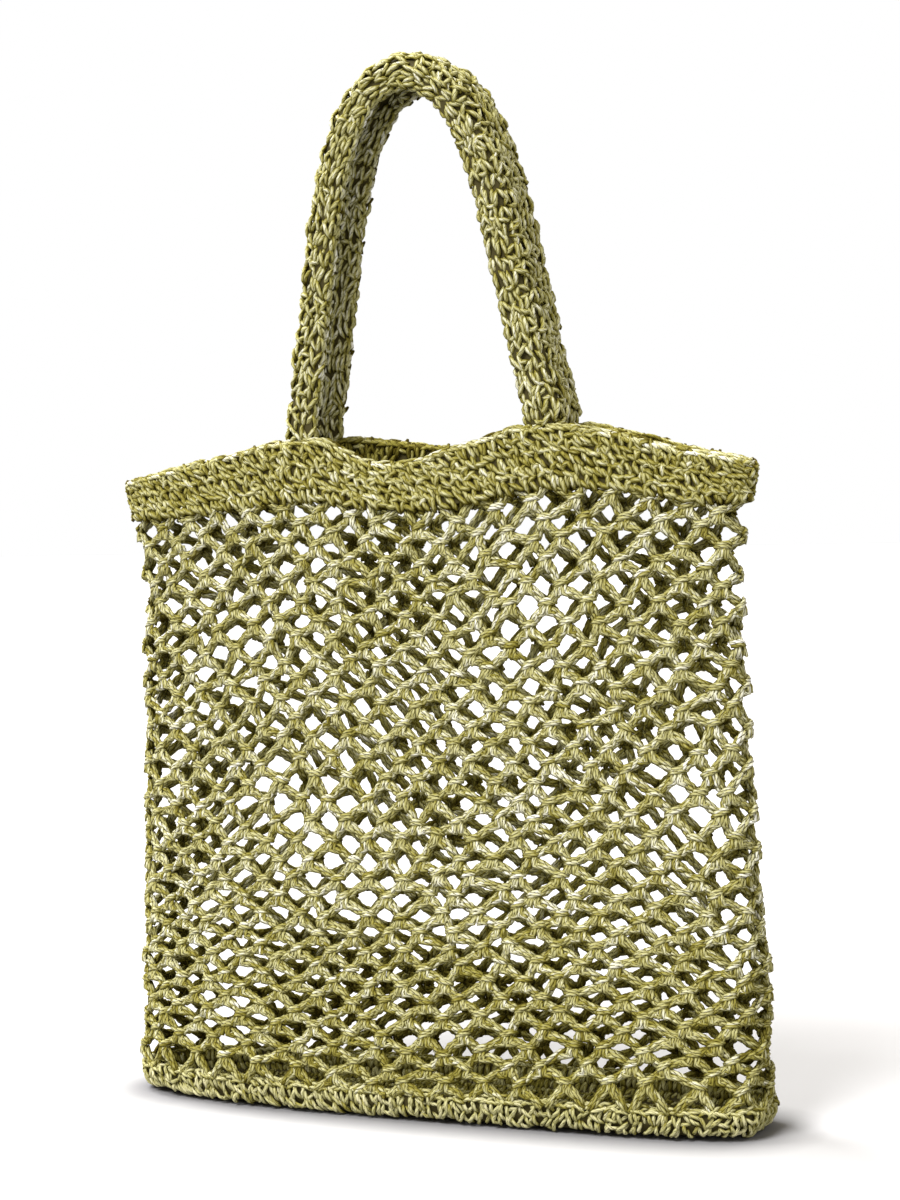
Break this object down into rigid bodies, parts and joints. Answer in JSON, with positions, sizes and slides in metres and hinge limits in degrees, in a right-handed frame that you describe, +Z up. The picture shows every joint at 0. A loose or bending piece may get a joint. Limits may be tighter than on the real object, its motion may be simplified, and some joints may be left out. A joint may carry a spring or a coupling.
{
  "type": "straw net tote bag",
  "caption": "Crocheted straw tote bag with a flat oval base, open net sides, a firm rim band and a single arched handle curled into a channel",
  "frame": {"origin": "on the floor below the middle of the bag", "axes": "X along the width, the front faces -Y, Z up"},
  "size_m": [0.406, 0.0871, 0.6159],
  "materials": {
    "straw": "matte olive-green paper straw, crocheted"
  },
  "bodies": {
    "root": {"base": "straw", "net_front": "straw", "net_back": "straw", "rim": "straw", "handle": "straw"}
  },
  "joints": []
}
